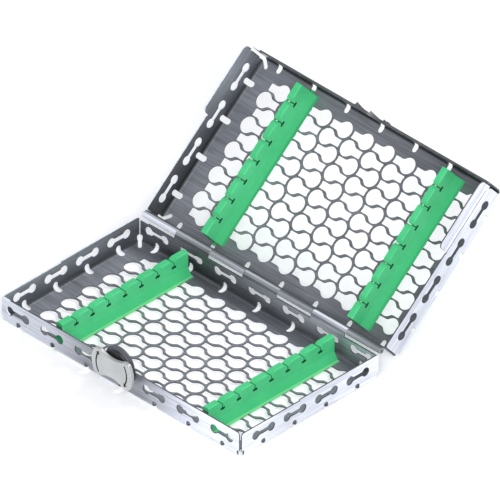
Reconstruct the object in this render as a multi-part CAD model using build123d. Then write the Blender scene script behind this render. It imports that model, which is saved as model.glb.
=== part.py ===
from build123d import *
import os
from math import sin, cos, radians, sqrt, pi, atan2, degrees

# ---------------------------------------------------------------------------
# Perforated stainless instrument cassette, stored with its lid open.
# Millimetres. +X right along the latch wall, +Y towards the hinge, +Z up.
# Work is done with the base panel's underside at height 0; everything is then
# raised by PAD, so that the silicone rails' pads stand on z = 0.
# ---------------------------------------------------------------------------

# overall
L = 203.8            # outer length of both trays (X)
W = 118.4            # outer width of both trays (Y)
T = 0.9              # sheet thickness
BEND = 3.0           # outer bend radius of the folds
RIM = 18.0           # wall height over the panel's underside
MID = 18.2           # parting plane, where the two rims face each other
PAD = 1.0            # how far the rails' pads stand below the panel
OPEN = 139.6         # lid angle at rest, from closed

# perforation
P = 17.74            # pitch of the keyhole pattern
BULB = 5.42          # radius of a keyhole's bulb
NECK = 2.45          # half width of a keyhole's neck
WEB = 1.1            # strip between a neck's end and the next bulb
NECK_R = 3.2         # fillet between neck and bulb
X_A0 = -75.4         # first bulb centre in the rows whose bulbs point to +X
X_B0 = -84.27        # first bulb centre in the rows whose bulbs point to -X
COLS = 10

# dog-bone slots in the walls and slots over the folds
DB_R = 3.05          # bulb radius
DB_C = 6.55          # bulb centre from the slot's middle
DB_N = 1.4           # half width of the neck
DB_Z = 10.7          # height of the slots
LONG_X = [-86.52, -57.68, -28.84, 0.0, 28.84, 57.68, 86.52]
SIDE_Y = [-39.96, -13.32, 13.32, 39.96]
FRONT_DX = -0.6      # the latch wall's dog-bones sit this far from its fold slots
SIDE_DY = 0.4        # and the side walls' dog-bones this far from theirs
FOLD_W = 3.7         # width of a fold slot
FOLD_IN = 6.0        # how far it reaches in over the panel
FOLD_UP = 5.4        # how far it reaches up the wall

# corners
SLIT = 1.25          # how far each wall stops short of the outer corner
REL_W = 2.4          # width of the diagonal relief
REL_IN = 7.0         # how far it reaches in from both sides
REL_C = 3.2          # how far the folds stop short of the corner
REL_UP = 5.0         # how far the relief reaches up the walls

# hinge
HY = 61.5            # axis behind the rear wall
PIN_R = 1.0
LID_BORE = 1.06      # running clearance on the pin
KNUCKLES = [(-101.15, -72.25), (-72.25, -43.35), (-43.35, -14.45), (-14.45, 14.45),
            (14.45, 43.35), (43.35, 72.25), (72.25, 101.15)]
KGAP = 0.2           # each knuckle's end gap
CUT_Z = 15.7         # rim height of the rear wall beside the other tray's knuckles

# lid tabs, measured from the hinge axis
TAB_D0 = 71.0
TAB_D1 = 118.6
TAB_N = 7.3
TAB_IN = 1.35        # how far the tab is set in to pass inside the base walls

# rails
RAIL_X = [-57.66, 66.52]
RAIL_HALF = 53.5
RAIL_TOP = 17.0
BODY = 2.5           # half width of the upright body
FOOT = 5.4           # half width of the foot
CREASE = 6.0         # height where the foot begins
FLANGE = 6.9         # half width of the thin flange round the foot
FLANGE_T = 0.4
PLUG_W = 6.1         # half width of the strip of plugs in the keyholes
PAD_W = 5.2          # half width of the pad below the panel
PAD_HALF = 55.5      # half length of the pad
NOTCH_P = 13.81
NOTCH_N = 7
VAL_W = 2.9          # half width of a valley
VAL_D = 2.2          # depth of a valley
TBAR_Z = 11.7        # bar across the lower end of each slit
TBAR_L = 3.9
TBAR_H = 1.8
SAW = 0.6            # width of the saw slit

# latch
LX = -0.65           # its axis, a little off the middle of the wall
ARCH_R = 12.3        # arch of the base wall that carries the pivot
RECESS_R = 12.8      # matching recess in the lid wall
CATCH_R = 14.2
RAMP_R = 13.3        # outer radius of the catch's ramps
RAMPS = [(184, 218, 2.1), (232, 265, 2.3), (279, 320, 1.9)]   # start, end, height over the wall
PL_Y = -66.4         # front face of the latch plate
PL_T = 2.4
PL_A = 17.0          # half length
PL_B = 9.5           # half height
PL_DIP = 2.6         # depth of the waist
ARROW_R = 12.9       # middle of the engraved arrows
ARROW_W = 0.6        # half width of their line
ARROW_D = 0.6        # depth of the engraving
BACK_T = 1.4
HUB_R = 10.3
RIV_R = 1.5
LUG_0, LUG_1 = 14.0, 14.9   # lugs that hook over the ramps when the latch is turned

YF = -W / 2          # outer face of the latch wall
YR = W / 2           # outer face of the hinge wall


# ------------------------------------------------------------- perforation
def keyhole(sign, last, g=0.0):
    """One keyhole with its bulb at the origin and its neck towards -sign X,
    drawn smaller all round by g."""
    rb, hn, r2 = BULB - g, NECK - g, NECK_R + g
    cy = hn + r2
    cx = sqrt((rb + r2) ** 2 - cy ** 2)
    k = rb / (rb + r2)
    jx, jy = cx * k, cy * k                       # where bulb and fillet meet
    # middle of the fillet arc
    a0 = atan2(jy - cy, -jx + cx)
    a1 = atan2(-1, 0)
    if a0 > 0:
        a0 -= 2 * pi
    am = (a0 + a1) / 2
    mx, my = -cx + r2 * cos(am), cy + r2 * sin(am)
    rr = BULB + WEB + g
    if last:
        ex = 10.55 - g
    else:
        ex = P - sqrt(rr ** 2 - hn ** 2)
    s = sign
    with BuildSketch() as sk:
        with BuildLine():
            ThreePointArc((-jx * s, -jy), (rb * s, 0), (-jx * s, jy))
            ThreePointArc((-jx * s, jy), (mx * s, my), (-cx * s, hn))
            Line((-cx * s, hn), (-ex * s, hn))
            if last:
                Line((-ex * s, hn), (-ex * s, -hn))
            else:
                ThreePointArc((-ex * s, hn), (-(P - rr) * s, 0), (-ex * s, -hn))
            Line((-ex * s, -hn), (-cx * s, -hn))
            ThreePointArc((-cx * s, -hn), (mx * s, -my), (-jx * s, -jy))
        make_face()
    f = sk.sketch.faces()[0]
    ends = [v for v in f.vertices() if abs(abs(v.X) - ex) < 1e-3]
    return f.fillet_2d(0.55, ends)


def hole_faces(g=0.0):
    """All 110 keyholes, as faces on the XY plane."""
    k = {(s, e): keyhole(s, e, g) for s in (1, -1) for e in (False, True)}
    out = []
    for j in range(11):
        y = (j - 5) * P / 2
        a_row = j % 2 == 0
        for i in range(COLS):
            if a_row:
                out.append(k[(1, i == 0)].moved(Location((X_A0 + i * P, y, 0))))
            else:
                out.append(k[(-1, i == COLS - 1)].moved(Location((X_B0 + i * P, y, 0))))
    return out


HOLES = hole_faces()
PLUGS = hole_faces(0.04)


def lattice_cutter():
    return Compound([extrude(f, 8, dir=(0, 0, 1)).moved(Location((0, 0, -4))) for f in HOLES])


def dogbone():
    """Dog-bone slot face in its own XY plane, long axis X."""
    with BuildSketch() as sk:
        Rectangle(2 * DB_C, 2 * DB_N)
        with Locations((-DB_C, 0), (DB_C, 0)):
            Circle(DB_R)
    f = sk.sketch.faces()[0]
    vs = [v for v in f.vertices() if abs(abs(v.Y) - DB_N) < 1e-3 and abs(v.X) < DB_C]
    return f.fillet_2d(1.2, vs)


def wall_slots_x(y, xs):
    """Dog-bones through a wall that runs along X at height DB_Z."""
    f = dogbone()
    return [extrude(f.moved(Plane(origin=(x, y, DB_Z), x_dir=(1, 0, 0), z_dir=(0, -1, 0)).location), 3, both=True)
            for x in xs]


def wall_slots_y(x, ys):
    f = dogbone()
    return [extrude(f.moved(Plane(origin=(x, y, DB_Z), x_dir=(0, 1, 0), z_dir=(1, 0, 0)).location), 3, both=True)
            for y in ys]


def fold_slot(u, v_out, along_x, sgn):
    """A slot that straddles a fold: round at its end on the panel and up the wall."""
    r = FOLD_W / 2
    inn = FOLD_IN - r
    up = FOLD_UP - r
    if along_x:
        panel = Box(FOLD_W, inn + 10, 6).moved(Location((u, v_out - sgn * (inn - 10) / 2, 0)))
        pend = Cylinder(r, 6).moved(Location((u, v_out - sgn * inn, 0)))
        wall = Box(FOLD_W, 8, up + 5).moved(Location((u, v_out, (up - 5) / 2)))
        wend = Cylinder(r, 8, rotation=(90, 0, 0)).moved(Location((u, v_out, up)))
    else:
        panel = Box(inn + 10, FOLD_W, 6).moved(Location((v_out - sgn * (inn - 10) / 2, u, 0)))
        pend = Cylinder(r, 6).moved(Location((v_out - sgn * inn, u, 0)))
        wall = Box(8, FOLD_W, up + 5).moved(Location((v_out, u, (up - 5) / 2)))
        wend = Cylinder(r, 8, rotation=(0, 90, 0)).moved(Location((v_out, u, up)))
    return [panel, pend, wall, wend]


# ------------------------------------------------------------------- hinge
def knuckle_profile(bore):
    """Rolled knuckle in the YZ plane: wall, 45 degree rise, curl over the pin."""
    rm = bore + T / 2
    yw = YR - T / 2                               # wall centre line
    ax, az = HY, MID
    q = sqrt(0.5)
    tx, tz = ax - rm * q, az + rm * q             # tangent point
    rb = 1.6                                      # bend from the wall into the rise
    # line of the rise: z - tz = (y - tx)
    zc = tz + (yw - tx)                           # where it would meet the wall line
    k = rb * (sqrt(2) - 1)
    p0 = (yw, CUT_Z - 3.0)
    p1 = (yw, zc - k)
    p2 = (yw + k * q, zc + k * q)
    mid = (yw + rb - rb * cos(radians(22.5)), zc - k + rb * sin(radians(22.5)))
    end = radians(-152)
    a0 = radians(135)
    am = (a0 + end) / 2
    p4 = (ax + rm * cos(end), az + rm * sin(end))
    pm = (ax + rm * cos(am), az + rm * sin(am))
    with BuildSketch(Plane.YZ) as sk:
        with BuildLine() as ln:
            Line(p0, p1)
            ThreePointArc(p1, mid, p2)
            Line(p2, (tx, tz))
            ThreePointArc((tx, tz), pm, p4)
        trace(line_width=T)
    return sk.sketch


def knuckles(idx, bore):
    prof = knuckle_profile(bore)
    out = []
    for i in idx:
        a, b = KNUCKLES[i]
        a, b = a + KGAP, b - KGAP
        out.append(extrude(prof.moved(Location((a, 0, 0))), b - a, dir=(1, 0, 0)))
    return out


# -------------------------------------------------------------------- tray
def tray_shell():
    outer = Box(L, W, RIM + 10).moved(Location((0, 0, (RIM + 10) / 2)))
    eb = [e for e in outer.edges() if abs(e.center().Z) < 1e-6]
    outer = fillet(eb, BEND)
    inner = Box(L - 2 * T, W - 2 * T, RIM + 10).moved(Location((0, 0, T + (RIM + 10) / 2)))
    eb = [e for e in inner.edges() if abs(e.center().Z - T) < 1e-6]
    inner = fillet(eb, BEND - T)
    s = outer - inner
    s -= Box(L + 10, W + 10, 40).moved(Location((0, 0, RIM + 20)))
    return s


def corner_cuts(side_gap_front):
    """Slits between neighbouring walls, and the diagonal reliefs under them."""
    out = []
    for sx in (-1, 1):
        for sy in (-1, 1):
            g = side_gap_front if sy < 0 else SLIT
            cx, cy = sx * L / 2, sy * W / 2
            out.append(Box(2 * SLIT, 2 * g, 40).moved(Location((cx, cy, REL_UP - 2.0 + 20))))
            # the folds stop short of the corner, with a round top to each cut
            r = REL_C - SLIT + 0.15
            out.append(Box(2 * REL_C, 2 * REL_C, 2 * (REL_UP - r)).moved(Location((cx, cy, 0))))
            out.append(Cylinder(r, 2 * REL_C, rotation=(90, 0, 0)).moved(
                Location((cx - sx * (REL_C - r), cy, REL_UP - r))))
            out.append(Cylinder(r, 2 * REL_C, rotation=(0, 90, 0)).moved(
                Location((cx, cy - sy * (REL_C - r), REL_UP - r))))
            ang = degrees(atan2(sy, sx))
            ln = REL_IN * sqrt(2)
            d = REL_W / 2
            slot = Box(ln + 6 - d, REL_W, 2 * T + 2).moved(
                Location((6 / 2 - (ln - d) / 2, 0, 0)))
            tip = Cylinder(d, 2 * T + 2).moved(Location((-(ln - d), 0, 0)))
            for s in (slot, tip):
                out.append(s.moved(Location((cx, cy, 0), (0, 0, ang))))
    return out


def rear_rim_cuts(idx):
    """The rear wall is cut lower beside the other tray's knuckles, with a
    small relief at both ends of each cut."""
    out = []
    for i in idx:
        a, b = KNUCKLES[i]
        a -= 0.35
        b += 0.35
        a2, b2 = max(a, -L / 2 - 1), min(b, L / 2 + 1)
        if i == 0:
            a2 = -L / 2 - 1
        if i == 6:
            b2 = L / 2 + 1
        out.append(Box(b2 - a2, 2.2, 20).moved(Location(((a2 + b2) / 2, YR, CUT_Z + 10))))
        for x, use in ((a2 + 0.55, i != 0), (b2 - 0.55, i != 6)):
            if use:
                out.append(Cylinder(0.55, 6, rotation=(90, 0, 0)).moved(Location((x, YR, CUT_Z))))
                out.append(Box(1.1, 6, 0.7).moved(Location((x, YR, CUT_Z - 0.0))))
    return out


def common_cuts(long_front):
    cuts = [lattice_cutter()]
    cuts += wall_slots_x(YF, [x + FRONT_DX for x in long_front])
    cuts += wall_slots_x(YR, LONG_X)
    for sx in (-1, 1):
        cuts += wall_slots_y(sx * L / 2, [y + SIDE_DY for y in SIDE_Y])
        for y in SIDE_Y:
            cuts += fold_slot(y, sx * L / 2, False, sx)
    for x in LONG_X:
        cuts += fold_slot(x, YF, True, -1)
        cuts += fold_slot(x, YR, True, 1)
    return cuts


def round_ends(s, want):
    """Round the upper corners of the walls. Each entry is the wall's normal
    axis, the sign in X, the sign in Y and the radius."""
    for axis, sx, sy, r in want:
        es = []
        for e in s.edges():
            if abs(e.length - T) > 0.02 or e.center().Z < 14:
                continue
            c = e.center()
            d = e.tangent_at(0.5)
            if axis == "X" and abs(d.X) > 0.99 and c.X * sx > L / 2 - 1 and c.Y * sy > W / 2 - 4:
                es.append(e)
            if axis == "Y" and abs(d.Y) > 0.99 and c.Y * sy > W / 2 - 1 and c.X * sx > L / 2 - 4:
                es.append(e)
        s = fillet(es[:1], r)
    return s


def cut_all(s, cuts):
    flat = []
    for c in cuts:
        flat += list(c.solids())
    return s.cut(*flat)


def base_tray():
    s = tray_shell()
    # arch over the rim that carries the latch pivot
    with BuildSketch(Plane(origin=(LX, YF, 0), x_dir=(1, 0, 0), z_dir=(0, -1, 0))) as sk:
        with Locations((0, MID)):
            Circle(ARCH_R)
        with Locations((0, MID - 20)):
            Rectangle(60, 40, mode=Mode.SUBTRACT)
        with Locations((0, (RIM - 1 + MID) / 2)):
            Rectangle(2 * ARCH_R, MID - RIM + 1)
    arch = extrude(sk.sketch, -T)
    s = s.fuse(arch)
    cuts = common_cuts(LONG_X)
    cuts += corner_cuts(SLIT)
    cuts += rear_rim_cuts([0, 2, 4, 6])
    # the rear wall gives way to the strips of its own knuckles above here
    for i in (1, 3, 5):
        a, b = KNUCKLES[i]
        cuts.append(Box(b - a - 0.7, 2.2, 20).moved(Location(((a + b) / 2, YR, CUT_Z - 0.4 + 10))))
    # side rims are lower under the lid's tabs
    for sx in (-1, 1):
        y1 = HY - TAB_D0 + 0.8
        cuts.append(Box(2.2, 80, 10).moved(Location((sx * L / 2, y1 - 40, RIM - 0.9 + 5))))
    cuts.append(Cylinder(RIV_R, 10, rotation=(90, 0, 0)).moved(Location((LX, YF, MID))))
    s = cut_all(s, cuts)
    want = [("X", sx, sy, 2.0) for sx in (-1, 1) for sy in (-1, 1)]
    want += [("Y", sx, sy, 1.5) for sx in (-1, 1) for sy in (-1, 1)]
    s = round_ends(s, want)
    return s.fuse(*knuckles([1, 3, 5], PIN_R))


def lid_tray_closed():
    """The lid in the same attitude as the base; it is mirrored afterwards."""
    s = tray_shell()
    cuts = common_cuts([x for x in LONG_X if x != 0.0])
    cuts += corner_cuts(2.6)
    cuts += rear_rim_cuts([1, 3, 5])
    for i in (0, 2, 4, 6):
        a, b = KNUCKLES[i]
        a2, b2 = a + 0.35, b - 0.35
        cuts.append(Box(b2 - a2, 2.2, 20).moved(Location(((a2 + b2) / 2, YR, CUT_Z - 0.4 + 10))))
    # recess for the base wall's arch
    cuts.append(Cylinder(RECESS_R, 12, rotation=(90, 0, 0)).moved(Location((LX, YF, MID))))
    s = cut_all(s, cuts)
    want = [("X", sx, -1, 4.2) for sx in (-1, 1)] + [("X", sx, 1, 1.5) for sx in (-1, 1)]
    want += [("Y", sx, -1, 2.0) for sx in (-1, 1)] + [("Y", sx, 1, 1.5) for sx in (-1, 1)]
    s = round_ends(s, want)
    s = s.fuse(*knuckles([0, 2, 4, 6], LID_BORE))
    # tabs: set in by a joggle, then straight
    y0, y1 = HY - TAB_D1, HY - TAB_D0
    tabs = []
    for sx in (-1, 1):
        xo = sx * L / 2
        xi = sx * (L / 2 - T)
        j = sx * TAB_IN
        zt = MID + TAB_N
        z0, z1 = RIM - 1.0, MID + 0.7
        pts = [(xo, z0), (xo, RIM - 0.45), (xo - j, z1), (xo - j, zt),
               (xi - j, zt), (xi - j, z1 - 0.55), (xi, RIM - 1.0)]
        with BuildSketch(Plane.XZ) as sk:
            with BuildLine():
                Polyline(*pts, close=True)
            make_face()
        tab = extrude(sk.sketch.moved(Location((0, y0, 0))), -(y1 - y0))
        bb = tab.bounding_box()
        if bb.min.Y < y0 - 1:
            tab = tab.moved(Location((0, y0 - bb.min.Y, 0)))
        ends = [e for e in tab.edges() if abs(e.center().Z - zt) < 1e-4 and abs(e.length - T) < 1e-3]
        tab = fillet(ends, 4.0)
        tabs.append(tab)
    s = s.fuse(*tabs)
    # small tear relief at the rear end of each tab
    for sx in (-1, 1):
        s = s - Cylinder(0.6, 8, rotation=(0, 90, 0)).moved(Location((sx * L / 2, y1 + 0.55, RIM)))
    return s


# ------------------------------------------------------------------- rails
def rail(xc):
    with BuildSketch(Plane.XZ) as sk:
        with BuildLine():
            Polyline((-FLANGE, T), (FLANGE, T), (FLANGE, T + FLANGE_T), (FOOT, T + FLANGE_T + 0.1),
                     (BODY, CREASE), (BODY, RAIL_TOP), (-BODY, RAIL_TOP), (-BODY, CREASE),
                     (-FOOT, T + FLANGE_T + 0.1), (-FLANGE, T + FLANGE_T), close=True)
        make_face()
        tops = [v for v in sk.vertices() if abs(v.Z - RAIL_TOP) < 1e-3 or abs(v.Y - RAIL_TOP) < 1e-3]
        fillet(tops, 0.9)
        creases = [v for v in sk.vertices() if abs(abs(v.X) - BODY) < 1e-3
                   and (abs(v.Z - CREASE) < 1e-3 or abs(v.Y - CREASE) < 1e-3)]
        fillet(creases, 2.0)
    body = extrude(sk.sketch, RAIL_HALF, both=True)
    # valley: a V with rounded shoulders, cut across the ridge
    zb = RAIL_TOP - VAL_D
    with BuildSketch(Plane.YZ) as vs:
        with BuildLine():
            Polyline((-VAL_W - 1.6, RAIL_TOP + 3), (-VAL_W - 1.6, RAIL_TOP + 0.0), (-VAL_W, RAIL_TOP),
                     (0, zb), (VAL_W, RAIL_TOP), (VAL_W + 1.6, RAIL_TOP), (VAL_W + 1.6, RAIL_TOP + 3), close=True)
        make_face()
        sh = [v for v in vs.vertices() if abs(abs(v.Y) - VAL_W) < 1e-3 and abs(v.Z - RAIL_TOP) < 1e-3]
        fillet(sh, 3.0)
    val = extrude(vs.sketch, 10, both=True)
    cuts = []
    for i in range(NOTCH_N):
        y = (i - (NOTCH_N - 1) / 2) * NOTCH_P
        cuts.append(val.moved(Location((0, y, 0))))
        cuts.append(Box(20, SAW, zb + 0.6 - TBAR_Z).moved(Location((0, y, (zb + 0.6 + TBAR_Z) / 2))))
        r = TBAR_H / 2
        cuts.append(Box(20, TBAR_L - TBAR_H, TBAR_H).moved(Location((0, y, TBAR_Z))))
        for e in (-1, 1):
            cuts.append(Cylinder(r, 20, rotation=(0, 90, 0)).moved(
                Location((0, y + e * (TBAR_L / 2 - r), TBAR_Z))))
    body = cut_all(body, cuts)
    body = body.moved(Location((xc, 0, 0)))
    # plugs through the keyholes under the foot, and the pad below the panel
    strip = Face.make_rect(2 * PLUG_W, 2 * RAIL_HALF - 2).moved(Location((xc, 0, 0)))
    parts = []
    for f in PLUGS:
        c = f.center()
        if abs(c.X - xc) > 18 or abs(c.Y) > RAIL_HALF + 4:
            continue
        x = strip & f
        if x is None:
            continue
        for ff in x.faces():
            if ff.area > 1.5:
                parts.append(extrude(ff, T, dir=(0, 0, 1)))
    with BuildSketch() as pd:
        with Locations((xc, 0)):
            RectangleRounded(2 * PAD_W, 2 * PAD_HALF, 1.5)
    pad = extrude(pd.sketch, -PAD)
    eb = [e for e in pad.edges() if abs(e.center().Z + PAD) < 1e-6]
    pad = chamfer(eb, 0.3)
    body = body.fuse(pad, *parts)
    return body


# ------------------------------------------------------------------- latch
LP = Plane(origin=(LX, 0, MID), x_dir=(1, 0, 0), z_dir=(0, -1, 0))


def butterfly(inset):
    a, b = PL_A - inset, PL_B - inset
    rc = (10.0 ** 2 + PL_DIP ** 2) / (2 * PL_DIP)
    with BuildSketch() as sk:
        Circle(a)
        with Locations((0, b + 20), (0, -b - 20)):
            Rectangle(60, 40, mode=Mode.SUBTRACT)
        with Locations((0, PL_B - PL_DIP + rc), (0, -(PL_B - PL_DIP + rc))):
            Circle(rc + inset, mode=Mode.SUBTRACT)
        fillet(sk.vertices(), 2.6)
    return sk.sketch


def latch_plate():
    s = extrude((LP.offset(-PL_Y - PL_T)) * butterfly(0), PL_T)
    front = [e for e in s.edges() if abs(e.center().Y - PL_Y) < 1e-4]
    s = fillet(front, 0.6)
    # two engraved curved arrows that point the way round
    r, a = ARROW_R, radians(-26)
    px, py = r * cos(a), r * sin(a)
    tx, ty = sin(a), -cos(a)
    nx, ny = cos(a), sin(a)
    with BuildSketch() as sk:
        with BuildLine():
            CenterArc((0, 0), r, -26, 60)
        trace(line_width=2 * ARROW_W)
        # head at the lower end
        with BuildLine():
            Polyline((px + 1.7 * nx, py + 1.7 * ny), (px + 2.6 * tx, py + 2.6 * ty),
                     (px - 1.7 * nx, py - 1.7 * ny), close=True)
        make_face()
    arrow = extrude(LP.offset(-PL_Y - ARROW_D) * sk.sketch, 2)
    other = arrow.rotate(Axis((LX, 0, MID), (0, 1, 0)), 180)
    return s.cut(arrow, other)


def latch_rotor():
    y0 = PL_Y + PL_T                              # front of the dark body
    s = extrude(LP.offset(-y0 - BACK_T) * butterfly(1.2), BACK_T)
    yh = YF - 0.3                                 # back of the hub
    hub = Cylinder(HUB_R, yh - (y0 + BACK_T), rotation=(90, 0, 0)).moved(
        Location((LX, (yh + y0 + BACK_T) / 2, MID)))
    s = s.fuse(hub)
    for a0 in (0, 180):
        with BuildSketch() as sk:
            with BuildLine():
                c0, c1 = radians(a0 - 14), radians(a0 + 14)
                cm = radians(a0)
                Line((LUG_0 * cos(c0), LUG_0 * sin(c0)), (LUG_1 * cos(c0), LUG_1 * sin(c0)))
                ThreePointArc((LUG_1 * cos(c0), LUG_1 * sin(c0)), (LUG_1 * cos(cm), LUG_1 * sin(cm)),
                              (LUG_1 * cos(c1), LUG_1 * sin(c1)))
                Line((LUG_1 * cos(c1), LUG_1 * sin(c1)), (LUG_0 * cos(c1), LUG_0 * sin(c1)))
                ThreePointArc((LUG_0 * cos(c1), LUG_0 * sin(c1)), (LUG_0 * cos(cm), LUG_0 * sin(cm)),
                              (LUG_0 * cos(c0), LUG_0 * sin(c0)))
            make_face()
        yl = YF - 1.3
        s = s.fuse(extrude(LP.offset(-yl) * sk.sketch, yl - y0))
    # bore and the recess for the rivet's front head
    s = s - Cylinder(RIV_R + 0.05, 30, rotation=(90, 0, 0)).moved(Location((LX, -62, MID)))
    s = s - Cylinder(2.8, 1.1, rotation=(90, 0, 0)).moved(Location((LX, y0 + 0.55, MID)))
    return s


def latch_rivet():
    y0 = PL_Y + PL_T
    yb = YF + T
    shank = Cylinder(RIV_R, yb - (y0 + 0.15), rotation=(90, 0, 0)).moved(
        Location((LX, (yb + y0 + 0.15) / 2, MID)))
    head = Cylinder(2.7, 0.75, rotation=(90, 0, 0)).moved(Location((LX, y0 + 0.15 + 0.375, MID)))
    tail = Cylinder(3.2, 1.0, rotation=(90, 0, 0)).moved(Location((LX, yb + 0.5, MID)))
    tail = fillet([e for e in tail.edges() if abs(e.center().Y - (yb + 1.0)) < 1e-4], 0.5)
    return shank.fuse(head, tail)


def catch_closed():
    """Catch ring on the lid wall's outer face, in the lid's own (base-like)
    attitude: the ring opens downwards there, and carries three ramps, each
    highest at its -X end."""
    def ring(r0, r1, a0, a1, depth):
        with BuildSketch() as sk:
            with BuildLine():
                c0, c1, cm = radians(a0), radians(a1), radians((a0 + a1) / 2)
                Line((r0 * cos(c0), r0 * sin(c0)), (r1 * cos(c0), r1 * sin(c0)))
                ThreePointArc((r1 * cos(c0), r1 * sin(c0)), (r1 * cos(cm), r1 * sin(cm)),
                              (r1 * cos(c1), r1 * sin(c1)))
                Line((r1 * cos(c1), r1 * sin(c1)), (r0 * cos(c1), r0 * sin(c1)))
                ThreePointArc((r0 * cos(c1), r0 * sin(c1)), (r0 * cos(cm), r0 * sin(cm)),
                              (r0 * cos(c0), r0 * sin(c0)))
            make_face()
        return extrude(LP.offset(-YF) * sk.sketch, depth)
    s = ring(RECESS_R, CATCH_R, 186, 354, T)
    for a0, a1, high in RAMPS:
        r = ring(RECESS_R, RAMP_R, a0, a1, high)
        c0, c1 = radians(a0), radians(a1)
        p0 = (RAMP_R * cos(c0), RAMP_R * sin(c0))
        dx, dz = RAMP_R * cos(c1) - p0[0], RAMP_R * sin(c1) - p0[1]
        ln = sqrt(dx * dx + dz * dz)
        tx, tz = dx / ln, dz / ln
        pl = Plane(origin=(LX + p0[0], YF, MID + p0[1]), x_dir=(tx, 0, tz), z_dir=(tz, 0, -tx))
        with BuildSketch(pl) as sk:
            with BuildLine():
                Polyline((0.4, high), (ln + 2, T * 0.5), (ln + 2, high + 2), (0.4, high + 2), close=True)
            make_face()
        s = s.fuse(r - extrude(sk.sketch, 12, both=True))
    return s


# ------------------------------------------------------------------ placing
HINGE = Axis((0, HY, MID), (1, 0, 0))
Y_SHIFT = -48.793    # brings the middle of the open cassette's box to y = 0


def to_lid(s):
    """Mirror about the parting plane, then swing open about the hinge."""
    m = s.mirror(Plane(origin=(0, 0, MID), x_dir=(1, 0, 0), z_dir=(0, 0, 1)))
    return m.rotate(HINGE, -OPEN)


def raised(s):
    return s.moved(Location((0, Y_SHIFT, PAD)))


pin = Cylinder(PIN_R, 202.6, rotation=(0, 90, 0)).moved(Location((0, HY, MID)))

nodes = {
    "base_tray": base_tray(),
    "hinge_pin": pin,
    "rail_base_left": rail(RAIL_X[0]),
    "rail_base_right": rail(RAIL_X[1]),
    "latch_rivet": latch_rivet(),
    "latch_rotor": latch_rotor(),
    "latch_plate": latch_plate(),
    "lid_tray": to_lid(lid_tray_closed()),
    "lid_catch": to_lid(catch_closed()),
    "rail_lid_left": to_lid(rail(RAIL_X[0])),
    "rail_lid_right": to_lid(rail(RAIL_X[1])),
}

os.makedirs("parts", exist_ok=True)
for name, shape in nodes.items():
    shape = raised(shape)
    sol = shape.solids()
    if len(sol) == 1:
        shape = sol[0]
    else:
        shape = Compound(sol)
    shape.label = name
    export_step(shape, f"parts/{name}.step")
    bb = shape.bounding_box()
    print(name, len(sol), round(shape.volume, 1), "valid", shape.is_valid,
          [round(v, 2) for v in (bb.min.X, bb.min.Y, bb.min.Z, bb.max.X, bb.max.Y, bb.max.Z)])
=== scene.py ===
import bpy
import math
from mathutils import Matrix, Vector

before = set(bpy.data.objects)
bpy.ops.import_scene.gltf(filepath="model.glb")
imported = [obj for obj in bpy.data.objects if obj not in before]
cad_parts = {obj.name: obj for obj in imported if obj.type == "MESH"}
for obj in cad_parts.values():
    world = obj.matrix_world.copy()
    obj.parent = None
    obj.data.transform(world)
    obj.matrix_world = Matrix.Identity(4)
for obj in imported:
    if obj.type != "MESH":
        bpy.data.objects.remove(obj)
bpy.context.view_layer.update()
MM = 0.001

# the same figures as the part's
OPEN = 139.6
Y_SHIFT = -48.793
PAD = 1.0
MID = 18.2
HY = 61.5
HINGE = Vector((0.0, (HY + Y_SHIFT) * MM, (MID + PAD) * MM))

scene = bpy.context.scene


# ---------------------------------------------------------------- node helpers
class Tree:
    def __init__(self, name):
        self.mat = bpy.data.materials.new(name)
        self.mat.use_nodes = True
        self.t = self.mat.node_tree
        self.t.nodes.clear()
        self.out = self.t.nodes.new("ShaderNodeOutputMaterial")

    def n(self, kind, **kw):
        node = self.t.nodes.new(kind)
        for k, v in kw.items():
            setattr(node, k, v)
        return node

    def link(self, a, b):
        self.t.links.new(a, b)

    def put(self, sock, v):
        if isinstance(v, bpy.types.NodeSocket):
            self.link(v, sock)
        else:
            sock.default_value = v

    def math(self, op, a, b=0.0, c=0.0, clamp=False):
        m = self.n("ShaderNodeMath", operation=op, use_clamp=clamp)
        self.put(m.inputs[0], a)
        self.put(m.inputs[1], b)
        self.put(m.inputs[2], c)
        return m.outputs[0]

    def vec(self, x, y, z):
        m = self.n("ShaderNodeCombineXYZ")
        for i, v in enumerate((x, y, z)):
            self.put(m.inputs[i], v)
        return m.outputs[0]

    def sep(self, v):
        m = self.n("ShaderNodeSeparateXYZ")
        self.link(v, m.inputs[0])
        return m.outputs

    def noise(self, v, scale, detail=2.0, rough=0.5):
        m = self.n("ShaderNodeTexNoise")
        self.link(v, m.inputs["Vector"])
        m.inputs["Scale"].default_value = scale
        m.inputs["Detail"].default_value = detail
        m.inputs["Roughness"].default_value = rough
        return m.outputs["Fac"]

    def mapr(self, v, a, b, c, d, clamp=True):
        m = self.n("ShaderNodeMapRange", clamp=clamp)
        self.link(v, m.inputs[0])
        for i, x in enumerate((a, b, c, d)):
            self.put(m.inputs[i + 1], x)
        return m.outputs[0]

    def mixf(self, f, a, b):
        m = self.n("ShaderNodeMix", data_type="FLOAT")
        self.put(m.inputs[0], f)
        self.put(m.inputs[2], a)
        self.put(m.inputs[3], b)
        return m.outputs[0]

    def mixc(self, f, a, b, blend="MIX"):
        m = self.n("ShaderNodeMix", data_type="RGBA", blend_type=blend)
        self.put(m.inputs[0], f)
        self.put(m.inputs[6], a)
        self.put(m.inputs[7], b)
        return m.outputs[2]


def srgb(h):
    c = [int(h[i:i + 2], 16) / 255 for i in (0, 2, 4)]
    return [x / 12.92 if x <= 0.04045 else ((x + 0.055) / 1.055) ** 2.4 for x in c] + [1.0]


# ------------------------------------------------------------------- materials
# painted light and shade: the sheet's brightness by where it is, with darkened cut edges, bright cut edges at the left
# end and a bright hinge roll
SHADE_IN_LOW, SHADE_IN_HIGH = 0.12, 0.38
SHADED_EDGE, LIT_EDGE_LEFT, LIT_ROLL = 0.10, 0.98, 0.98


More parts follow.
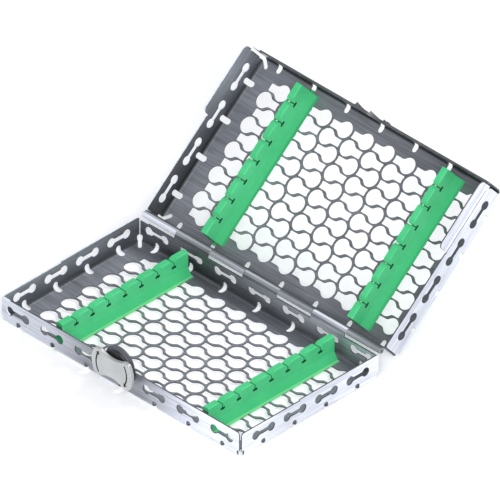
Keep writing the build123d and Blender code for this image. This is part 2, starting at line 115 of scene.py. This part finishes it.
def steel(name, lid):
    """Brushed stainless sheet. Everything is worked out in the tray's own
    upright frame: px, py, pz in metres from the middle of the panel's
    underside, with the walls rising along +pz."""
    t = Tree(name)
    tc = t.n("ShaderNodeTexCoord")
    pos, nor = tc.outputs["Object"], tc.outputs["Normal"]
    if lid:
        rp = t.n("ShaderNodeVectorRotate", rotation_type="X_AXIS")
        t.link(pos, rp.inputs["Vector"])
        rp.inputs["Center"].default_value = HINGE
        rp.inputs["Angle"].default_value = math.radians(OPEN)
        rn = t.n("ShaderNodeVectorRotate", rotation_type="X_AXIS")
        t.link(nor, rn.inputs["Vector"])
        rn.inputs["Angle"].default_value = math.radians(OPEN)
        pos, nor = rp.outputs[0], rn.outputs[0]
    px, py, pz = t.sep(pos)
    nx, ny, nz = t.sep(nor)
    py = t.math("SUBTRACT", py, Y_SHIFT * MM)
    if lid:
        pz = t.math("SUBTRACT", (2 * MID + PAD) * MM, pz)
        nz = t.math("MULTIPLY", nz, -1.0)
    else:
        pz = t.math("SUBTRACT", pz, PAD * MM)
    side = t.mapr(t.math("ABSOLUTE", nx), 0.62, 0.78, 0.0, 1.0)

    # which way the surface faces: 1 outwards, -1 inwards, 0 on a cut edge
    bx, by, bz = (101.9 - 3.0) * MM, (59.2 - 3.0) * MM, 3.0 * MM
    qx = t.math("SUBTRACT", px, t.math("MAXIMUM", t.math("MINIMUM", px, bx), -bx))
    qy = t.math("SUBTRACT", py, t.math("MAXIMUM", t.math("MINIMUM", py, by), -by))
    qz = t.math("MINIMUM", t.math("SUBTRACT", pz, bz), 0.0)
    nrm = t.n("ShaderNodeVectorMath", operation="NORMALIZE")
    t.link(t.vec(qx, qy, qz), nrm.inputs[0])
    dot = t.n("ShaderNodeVectorMath", operation="DOT_PRODUCT")
    t.link(nrm.outputs[0], dot.inputs[0])
    t.link(t.vec(nx, ny, nz), dot.inputs[1])
    facing = dot.outputs["Value"]
    out = t.mapr(facing, 0.3, 0.55, 0.0, 1.0)
    inn = t.mapr(facing, -0.55, -0.3, 1.0, 0.0)
    # the walls' end faces at the corner slits are cut edges too
    ax, ay = t.math("ABSOLUTE", px), t.math("ABSOLUTE", py)
    end_x = t.math("MULTIPLY", t.math("GREATER_THAN", t.math("ABSOLUTE", nx), 0.9),
                   t.math("MULTIPLY", t.math("LESS_THAN", ax, 101.5 * MM), t.math("GREATER_THAN", ay, 58.25 * MM)))
    end_y = t.math("MULTIPLY", t.math("GREATER_THAN", t.math("ABSOLUTE", ny), 0.9),
                   t.math("MULTIPLY", t.math("LESS_THAN", ay, 58.8 * MM), t.math("GREATER_THAN", ax, 100.95 * MM)))
    keep = t.math("SUBTRACT", 1.0, t.math("MAXIMUM", end_x, end_y))
    out = t.math("MULTIPLY", out, keep)
    inn = t.math("MULTIPLY", inn, keep)
    roll = t.mapr(py, 59.35 * MM, 59.55 * MM, 0.0, 1.0)

    # grain: long streaks, at three widths
    def streaks(fine, long_):
        a = t.noise(t.vec(t.math("MULTIPLY", px, long_), t.math("MULTIPLY", py, fine), t.math("MULTIPLY", pz, fine)), 1.0, 1.0)
        b = t.noise(t.vec(t.math("MULTIPLY", px, fine), t.math("MULTIPLY", py, long_), t.math("MULTIPLY", pz, fine)), 1.0, 1.0)
        return t.mixf(side, a, b)

    s1 = streaks(3600.0, 60.0)
    s2 = streaks(1100.0, 34.0)
    s3 = streaks(320.0, 16.0)
    cloud = t.noise(pos, 26.0, 3.0)
    grain = t.math("ADD", t.math("MULTIPLY", s1, 0.40), t.math("ADD", t.math("MULTIPLY", s2, 0.35), t.math("MULTIPLY", s3, 0.25)))
    grain = t.mapr(grain, 0.36, 0.64, 0.0, 1.0)

    # painted light and shade: the inner faces are darkened and the outer faces made light, each by position
    flat = t.mapr(t.math("ABSOLUTE", nz), 0.5, 0.9, 0.0, 1.0)
    rise = t.mapr(pz, 1.0 * MM, 18.0 * MM, 0.0, 1.0)
    wall_in_shade = t.mixf(rise, SHADE_IN_LOW, SHADE_IN_HIGH)
    is_left = t.math("MULTIPLY", side, t.math("LESS_THAN", px, 0.0))
    # painted light and shade per tray, set by position: the left and rear inner walls, the panel, the outer walls and
    # the hinge roll
    if lid:
        u = t.mapr(py, 35.0 * MM, -39.0 * MM, 0.0, 1.0)
        left_light_shade = t.math("ADD", 0.45, t.math("MULTIPLY", t.math("POWER", u, 2.0), 0.75))
        rear_light_shade = 0.75
        panel = t.mapr(px, -100.0 * MM, 100.0 * MM, 0.34, 0.20)
        wall_out_light = t.mapr(py, -50.0 * MM, 8.0 * MM, 0.90, 0.68)
        roll_light = t.mapr(px, -73.0 * MM, -71.5 * MM, LIT_ROLL, t.mapr(px, -40.0 * MM, 20.0 * MM, 0.52, 0.34))
    else:
        left_light_shade = t.mapr(py, -55.0 * MM, 55.0 * MM, 1.25, 1.0)
        rear_light_shade = t.math("MAXIMUM", t.mapr(px, -92.0 * MM, -45.0 * MM, 0.95, 0.55), t.mapr(px, -38.0 * MM, 95.0 * MM, 0.55, 2.2))
        panel = 0.34
        wall_out_light = t.mapr(t.math("ABSOLUTE", py), 18.0 * MM, 56.0 * MM, 0.68, 0.92)
        roll_light = t.mapr(px, 15.0 * MM, 45.0 * MM, LIT_ROLL * 0.55, LIT_ROLL)
    wall_in_shade = t.math("MULTIPLY", wall_in_shade, t.mixf(is_left, rear_light_shade, left_light_shade))
    shade_in_tone = t.mixf(flat, wall_in_shade, panel)
    # painted light and shade on the front wall's outside: darkest near the middle, lighter towards each end, most at
    # the right
    front_left_shade = t.mapr(px, -62.0 * MM, -30.0 * MM, 0.64, 0.35)
    front_right_light = t.mapr(px, 18.0 * MM, 70.0 * MM, 0.34, 0.96)
    front_light_shade = t.mixf(t.math("GREATER_THAN", px, 0.0), front_left_shade, front_right_light)
    is_front = t.math("MULTIPLY", t.mapr(ny, -0.8, -0.5, 1.0, 0.0), 0.0 if lid else 1.0)
    light_out_tone = t.mixf(is_front, wall_out_light, front_light_shade)
    # painted shade on the cut edges, with a painted highlight on those at the left end
    edge = t.mixf(t.math("LESS_THAN", px, -94.0 * MM), SHADED_EDGE, LIT_EDGE_LEFT)
    tone = t.mixf(inn, edge, shade_in_tone)
    tone = t.mixf(out, tone, light_out_tone)
    tone = t.mixf(roll, tone, roll_light)
    spread = t.mixf(out, 0.60, 0.48)
    tone = t.math("MULTIPLY", tone, t.math("ADD", 1.0, t.math("MULTIPLY", spread, t.math("SUBTRACT", grain, 0.5))))
    tone = t.math("MULTIPLY", tone, t.mapr(cloud, 0.3, 0.7, 0.94, 1.06), clamp=True)
    # the tray's inner bends are dull, and their colour is halved as painted shade
    big = t.math("MAXIMUM", t.math("MAXIMUM", t.math("ABSOLUTE", nx), t.math("ABSOLUTE", ny)), t.math("ABSOLUTE", nz))
    bend = t.math("MULTIPLY", t.mapr(big, 0.90, 0.985, 1.0, 0.0), inn)
    tone = t.math("MULTIPLY", tone, t.mixf(bend, 1.0, 0.5))
    cool = t.math("MULTIPLY", out, t.mapr(grain, 0.0, 0.6, 1.0, 0.0))
    tint = t.mixc(cool, (0.87, 0.905, 1.0, 1), (0.83, 0.85, 1.0, 1))

    bsdf = t.n("ShaderNodeBsdfPrincipled")
    t.link(t.mixf(roll, t.math("ADD", t.math("MULTIPLY", inn, 0.8), t.math("MULTIPLY", out, 0.5)), 0.15), bsdf.inputs["Metallic"])
    grey = t.n("ShaderNodeCombineColor")
    for i in range(3):
        t.link(tone, grey.inputs[i])
    t.link(t.mixc(1.0, grey.outputs[0], tint, "MULTIPLY"), bsdf.inputs["Base Color"])
    rough = t.mapr(t.math("ADD", t.math("MULTIPLY", grain, 0.8), t.math("MULTIPLY", cloud, 0.4)), 0.1, 1.0, 0.30, 0.44)
    rough = t.math("ADD", rough, t.math("MULTIPLY", inn, 0.12))
    t.link(t.mixf(bend, rough, 0.8), bsdf.inputs["Roughness"])
    bsdf.inputs["Anisotropic"].default_value = 0.5

    # the tangent follows the grain
    tan = t.vec(t.math("SUBTRACT", 1.0, side), side, 0.0)
    if lid:
        rt = t.n("ShaderNodeVectorRotate", rotation_type="X_AXIS")
        t.link(tan, rt.inputs["Vector"])
        rt.inputs["Angle"].default_value = -math.radians(OPEN)
        tan = rt.outputs[0]
    vt = t.n("ShaderNodeVectorTransform", vector_type="VECTOR", convert_from="OBJECT", convert_to="WORLD")
    t.link(tan, vt.inputs[0])
    t.link(vt.outputs[0], bsdf.inputs["Tangent"])

    bev = t.n("ShaderNodeBevel", samples=4)
    bev.inputs["Radius"].default_value = 0.12 * MM
    bump = t.n("ShaderNodeBump")
    bump.inputs["Strength"].default_value = 0.12
    bump.inputs["Distance"].default_value = 0.02 * MM
    t.link(grain, bump.inputs["Height"])
    t.link(bev.outputs[0], bump.inputs["Normal"])
    t.link(bump.outputs[0], bsdf.inputs["Normal"])
    t.link(bsdf.outputs[0], t.out.inputs[0])
    return t.mat


def rod(name):
    """Drawn rod, dulled by use, with faint marks along it."""
    t = Tree(name)
    tc = t.n("ShaderNodeTexCoord")
    px, py, pz = t.sep(tc.outputs["Object"])
    g = t.noise(t.vec(t.math("MULTIPLY", px, 90.0), t.math("MULTIPLY", py, 1500.0), t.math("MULTIPLY", pz, 1500.0)), 1.0, 2.0)
    bsdf = t.n("ShaderNodeBsdfPrincipled")
    bsdf.inputs["Metallic"].default_value = 1.0
    t.link(t.mixc(g, (0.11, 0.115, 0.13, 1), (0.19, 0.195, 0.215, 1)), bsdf.inputs["Base Color"])
    t.link(t.mapr(g, 0.3, 0.7, 0.34, 0.46), bsdf.inputs["Roughness"])
    bump = t.n("ShaderNodeBump")
    bump.inputs["Strength"].default_value = 0.1
    bump.inputs["Distance"].default_value = 0.02 * MM
    t.link(g, bump.inputs["Height"])
    t.link(bump.outputs[0], bsdf.inputs["Normal"])
    t.link(bsdf.outputs[0], t.out.inputs[0])
    return t.mat


def silicone(name, lid):
    """Soft green silicone, in the tray's own frame as for the steel. The saw
    slits and the bars under them, and the rail ends, get painted shade; the
    narrow flange a painted highlight on the base, painted shade on the lid."""
    t = Tree(name)
    tc = t.n("ShaderNodeTexCoord")
    pos, nor = tc.outputs["Object"], tc.outputs["Normal"]
    soft = t.noise(pos, 60.0, 3.0)
    fine = t.noise(pos, 2600.0, 2.0)
    if lid:
        rp = t.n("ShaderNodeVectorRotate", rotation_type="X_AXIS")
        t.link(pos, rp.inputs["Vector"])
        rp.inputs["Center"].default_value = HINGE
        rp.inputs["Angle"].default_value = math.radians(OPEN)
        rn = t.n("ShaderNodeVectorRotate", rotation_type="X_AXIS")
        t.link(nor, rn.inputs["Vector"])
        rn.inputs["Angle"].default_value = math.radians(OPEN)
        pos, nor = rp.outputs[0], rn.outputs[0]
    pz = t.sep(pos)[2]
    nx, ny, nz = t.sep(nor)
    if lid:
        pz = t.math("SUBTRACT", (2 * MID + PAD) * MM, pz)
        nz = t.math("MULTIPLY", nz, -1.0)
    else:
        pz = t.math("SUBTRACT", pz, PAD * MM)
    bsdf = t.n("ShaderNodeBsdfPrincipled")
    c = t.mixc(t.mapr(soft, 0.3, 0.7, 0.0, 1.0), srgb("45C47F"), srgb("50CE8A"))
    # painted shade: the foot's slopes face the light, so their colour is made a little deeper
    slope_shade = t.math("MULTIPLY", t.mapr(nz, 0.25, 0.5, 0.0, 1.0), t.mapr(pz, 6.6 * MM, 7.6 * MM, 1.0, 0.0))
    c = t.mixc(t.math("MULTIPLY", slope_shade, 0.45), c, srgb("34A868"))
    # painted highlight along the base rails' narrow flange, painted shade along the lid rails' flange
    flange_light_shade = t.math("MULTIPLY", t.mapr(pz, 1.38 * MM, 1.50 * MM, 1.0, 0.0), t.mapr(pz, 0.8 * MM, 0.9 * MM, 0.0, 1.0))
    c = t.mixc(t.math("MULTIPLY", flange_light_shade, 0.5), c, srgb("2A9A60" if lid else "8EE29A"))
    # painted shade on the rail ends
    end_shade = t.mapr(t.math("ABSOLUTE", ny), 0.8, 0.9, 0.0, 1.0)
    c = t.mixc(t.math("MULTIPLY", end_shade, 0.6), c, srgb("1E9A5A"))
    # painted shade in deep green on the faces in the slits
    slit_shade = t.math("MULTIPLY", t.mapr(t.math("ABSOLUTE", nx), 0.2, 0.35, 1.0, 0.0),
                    t.math("MULTIPLY", t.mapr(pz, 10.4 * MM, 10.6 * MM, 0.0, 1.0), t.mapr(pz, 14.6 * MM, 14.9 * MM, 1.0, 0.0)))
    c = t.mixc(t.math("MULTIPLY", slit_shade, 0.92), c, srgb("0B4A2C"))
    t.link(c, bsdf.inputs["Base Color"])
    t.link(t.mapr(fine, 0.3, 0.7, 0.42, 0.56), bsdf.inputs["Roughness"])
    bsdf.inputs["Specular IOR Level"].default_value = 0.4
    bsdf.inputs["Subsurface Weight"].default_value = 0.06
    bsdf.inputs["Subsurface Radius"].default_value = (0.4, 1.0, 0.6)
    bsdf.inputs["Subsurface Scale"].default_value = 1.2 * MM
    bev = t.n("ShaderNodeBevel", samples=4)
    bev.inputs["Radius"].default_value = 0.3 * MM
    bump = t.n("ShaderNodeBump")
    bump.inputs["Strength"].default_value = 0.15
    bump.inputs["Distance"].default_value = 0.03 * MM
    t.link(fine, bump.inputs["Height"])
    t.link(bev.outputs[0], bump.inputs["Normal"])
    t.link(bump.outputs[0], bsdf.inputs["Normal"])
    t.link(bsdf.outputs[0], t.out.inputs[0])
    return t.mat


def plate(name):
    """Light satin plate; the engraving is a little darker than the face."""
    t = Tree(name)
    tc = t.n("ShaderNodeTexCoord")
    pos = tc.outputs["Object"]
    px, py, pz = t.sep(pos)
    front = (-66.4 + Y_SHIFT) * MM
    groove = t.mapr(py, front + 0.15 * MM, front + 0.35 * MM, 0.0, 1.0)
    rear = t.mapr(py, front + 0.75 * MM, front + 0.85 * MM, 1.0, 0.0)
    dx, dz = t.math("ADD", px, 0.65 * MM), t.math("SUBTRACT", pz, (MID + PAD) * MM)
    rr = t.math("SQRT", t.math("ADD", t.math("MULTIPLY", dx, dx), t.math("MULTIPLY", dz, dz)))
    near = t.math("MULTIPLY", t.mapr(rr, 15.2 * MM, 15.4 * MM, 1.0, 0.0), t.mapr(t.math("ABSOLUTE", dz), 8.6 * MM, 8.8 * MM, 1.0, 0.0))
    waist = t.mapr(t.math("ABSOLUTE", dx), 9.8 * MM, 10.0 * MM, 0.0, 1.0)
    groove = t.math("MULTIPLY", t.math("MULTIPLY", groove, rear), t.math("MULTIPLY", near, waist))
    fine = t.noise(pos, 1500.0, 3.0)
    cloud = t.noise(pos, 90.0, 2.0)
    bsdf = t.n("ShaderNodeBsdfPrincipled")
    bsdf.inputs["Metallic"].default_value = 0.35
    c = t.mixc(t.mapr(cloud, 0.3, 0.7, 0.0, 1.0), srgb("B6B8B8"), srgb("C3C5C5"))
    c = t.mixc(t.math("MULTIPLY", groove, 0.94), c, srgb("1C1D1F"))
    t.link(c, bsdf.inputs["Base Color"])
    t.link(t.mapr(fine, 0.3, 0.7, 0.34, 0.46), bsdf.inputs["Roughness"])
    bump = t.n("ShaderNodeBump")
    bump.inputs["Strength"].default_value = 0.1
    bump.inputs["Distance"].default_value = 0.02 * MM
    t.link(fine, bump.inputs["Height"])
    t.link(bump.outputs[0], bsdf.inputs["Normal"])
    t.link(bsdf.outputs[0], t.out.inputs[0])
    return t.mat


def dark_plastic(name):
    t = Tree(name)
    tc = t.n("ShaderNodeTexCoord")
    fine = t.noise(tc.outputs["Object"], 2200.0, 3.0)
    bsdf = t.n("ShaderNodeBsdfPrincipled")
    py = t.sep(tc.outputs["Object"])[1]
    back = t.mapr(py, (-60.6 + Y_SHIFT) * MM, (-60.4 + Y_SHIFT) * MM, 0.0, 1.0)
    dark = t.mixc(fine, srgb("1B1C1E"), srgb("2A2B2E"))
    t.link(t.mixc(back, dark, srgb("6E7276")), bsdf.inputs["Base Color"])
    t.link(t.mapr(fine, 0.3, 0.7, 0.4, 0.55), bsdf.inputs["Roughness"])
    bump = t.n("ShaderNodeBump")
    bump.inputs["Strength"].default_value = 0.2
    bump.inputs["Distance"].default_value = 0.03 * MM
    t.link(fine, bump.inputs["Height"])
    t.link(bump.outputs[0], bsdf.inputs["Normal"])
    t.link(bsdf.outputs[0], t.out.inputs[0])
    return t.mat


def floor_mat():
    """Pale floor, seen from above only, so that the underside can be looked at."""
    t = Tree("floor")
    tc = t.n("ShaderNodeTexCoord")
    n = t.noise(tc.outputs["Object"], 3.0, 2.0)
    d = t.n("ShaderNodeBsdfDiffuse")
    t.link(t.mixc(n, (0.90, 0.90, 0.905, 1), (0.93, 0.93, 0.935, 1)), d.inputs["Color"])
    em = t.n("ShaderNodeEmission")
    em.inputs["Strength"].default_value = 0.18
    ad = t.n("ShaderNodeAddShader")
    t.link(d.outputs[0], ad.inputs[0])
    t.link(em.outputs[0], ad.inputs[1])
    geo = t.n("ShaderNodeNewGeometry")
    tr = t.n("ShaderNodeBsdfTransparent")
    mx = t.n("ShaderNodeMixShader")
    t.link(geo.outputs["Backfacing"], mx.inputs[0])
    t.link(ad.outputs[0], mx.inputs[1])
    t.link(tr.outputs[0], mx.inputs[2])
    t.link(mx.outputs[0], t.out.inputs[0])
    return t.mat


MATS = {
    "base_tray": steel("steel_base", False),
    "lid_tray": steel("steel_lid", True),
    "silicone_base": silicone("silicone_base", False),
    "silicone_lid": silicone("silicone_lid", True),
    "plate": plate("plate"),
    "rotor": dark_plastic("rotor"),
    "pin": rod("rod"),
}
USE = {
    "base_tray": "base_tray", "lid_tray": "lid_tray", "lid_catch": "lid_tray",
    "hinge_pin": "pin", "latch_rivet": "pin", "latch_plate": "plate", "latch_rotor": "rotor",
    "rail_base_left": "silicone_base", "rail_base_right": "silicone_base",
    "rail_lid_left": "silicone_lid", "rail_lid_right": "silicone_lid",
}
for name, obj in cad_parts.items():
    obj.data.materials.clear()
    obj.data.materials.append(MATS[USE[name]])

# ----------------------------------------------------------------------- stage
me = bpy.data.meshes.new("floor")
r = 3.0
me.from_pydata([(-r, -r, 0), (r, -r, 0), (r, r, 0), (-r, r, 0)], [], [(0, 1, 2, 3)])
floor = bpy.data.objects.new("floor", me)
floor.location.z = -0.02 * MM
floor.data.materials.append(floor_mat())
scene.collection.objects.link(floor)


def area(name, at, look, size, power, color=(1, 1, 1)):
    li = bpy.data.lights.new(name, "AREA")
    li.shape = "DISK"
    li.size = size
    li.energy = power
    li.color = color
    ob = bpy.data.objects.new(name, li)
    ob.location = at
    d = Vector(look) - Vector(at)
    ob.rotation_mode = "QUATERNION"
    ob.rotation_quaternion = d.to_track_quat("-Z", "Y")
    scene.collection.objects.link(ob)
    return ob


C = (0.0, 0.0, 0.04)
area("key", (1.45, -1.35, 1.45), C, 1.0, 40.0)
area("back", (0.5, 1.5, 1.95), (0, 0.1, 0.0), 1.3, 20.0)

world = bpy.data.worlds.new("studio")
world.use_nodes = True
bg = world.node_tree.nodes["Background"]
bg.inputs[0].default_value = (0.93, 0.95, 1.0, 1)
bg.inputs[1].default_value = 0.50
scene.world = world
scene.view_settings.view_transform = "Standard"
scene.view_settings.look = "None"
scene.view_settings.exposure = 0.0

# ---------------------------------------------------------------------- camera
AZ, EL = math.radians(45.0), math.radians(35.264)
AIM = Vector((1.7, 48.8 + Y_SHIFT, 48.8 + PAD)) * MM
back = Vector((math.sin(AZ) * math.cos(EL), -math.cos(AZ) * math.cos(EL), math.sin(EL)))
across = Vector((math.cos(AZ), math.sin(AZ), 0.0))
AIM = AIM + across * (0.18 * MM) + back.cross(across) * (0.42 * MM)
cd = bpy.data.cameras.new("cam")
cd.type = "ORTHO"
cd.ortho_scale = 0.30010
cd.sensor_width = 36.0
cd.lens = 1200.0
cd.dof.use_dof = False
cam = bpy.data.objects.new("cam", cd)
cam.rotation_mode = "QUATERNION"
dist = cd.lens * 0.30010 / 36.0
cam.location = AIM + back * dist
cam.rotation_quaternion = (-back).to_track_quat("-Z", "Y")
cd.clip_start, cd.clip_end = 1.0, 40.0
scene.collection.objects.link(cam)
scene.camera = cam
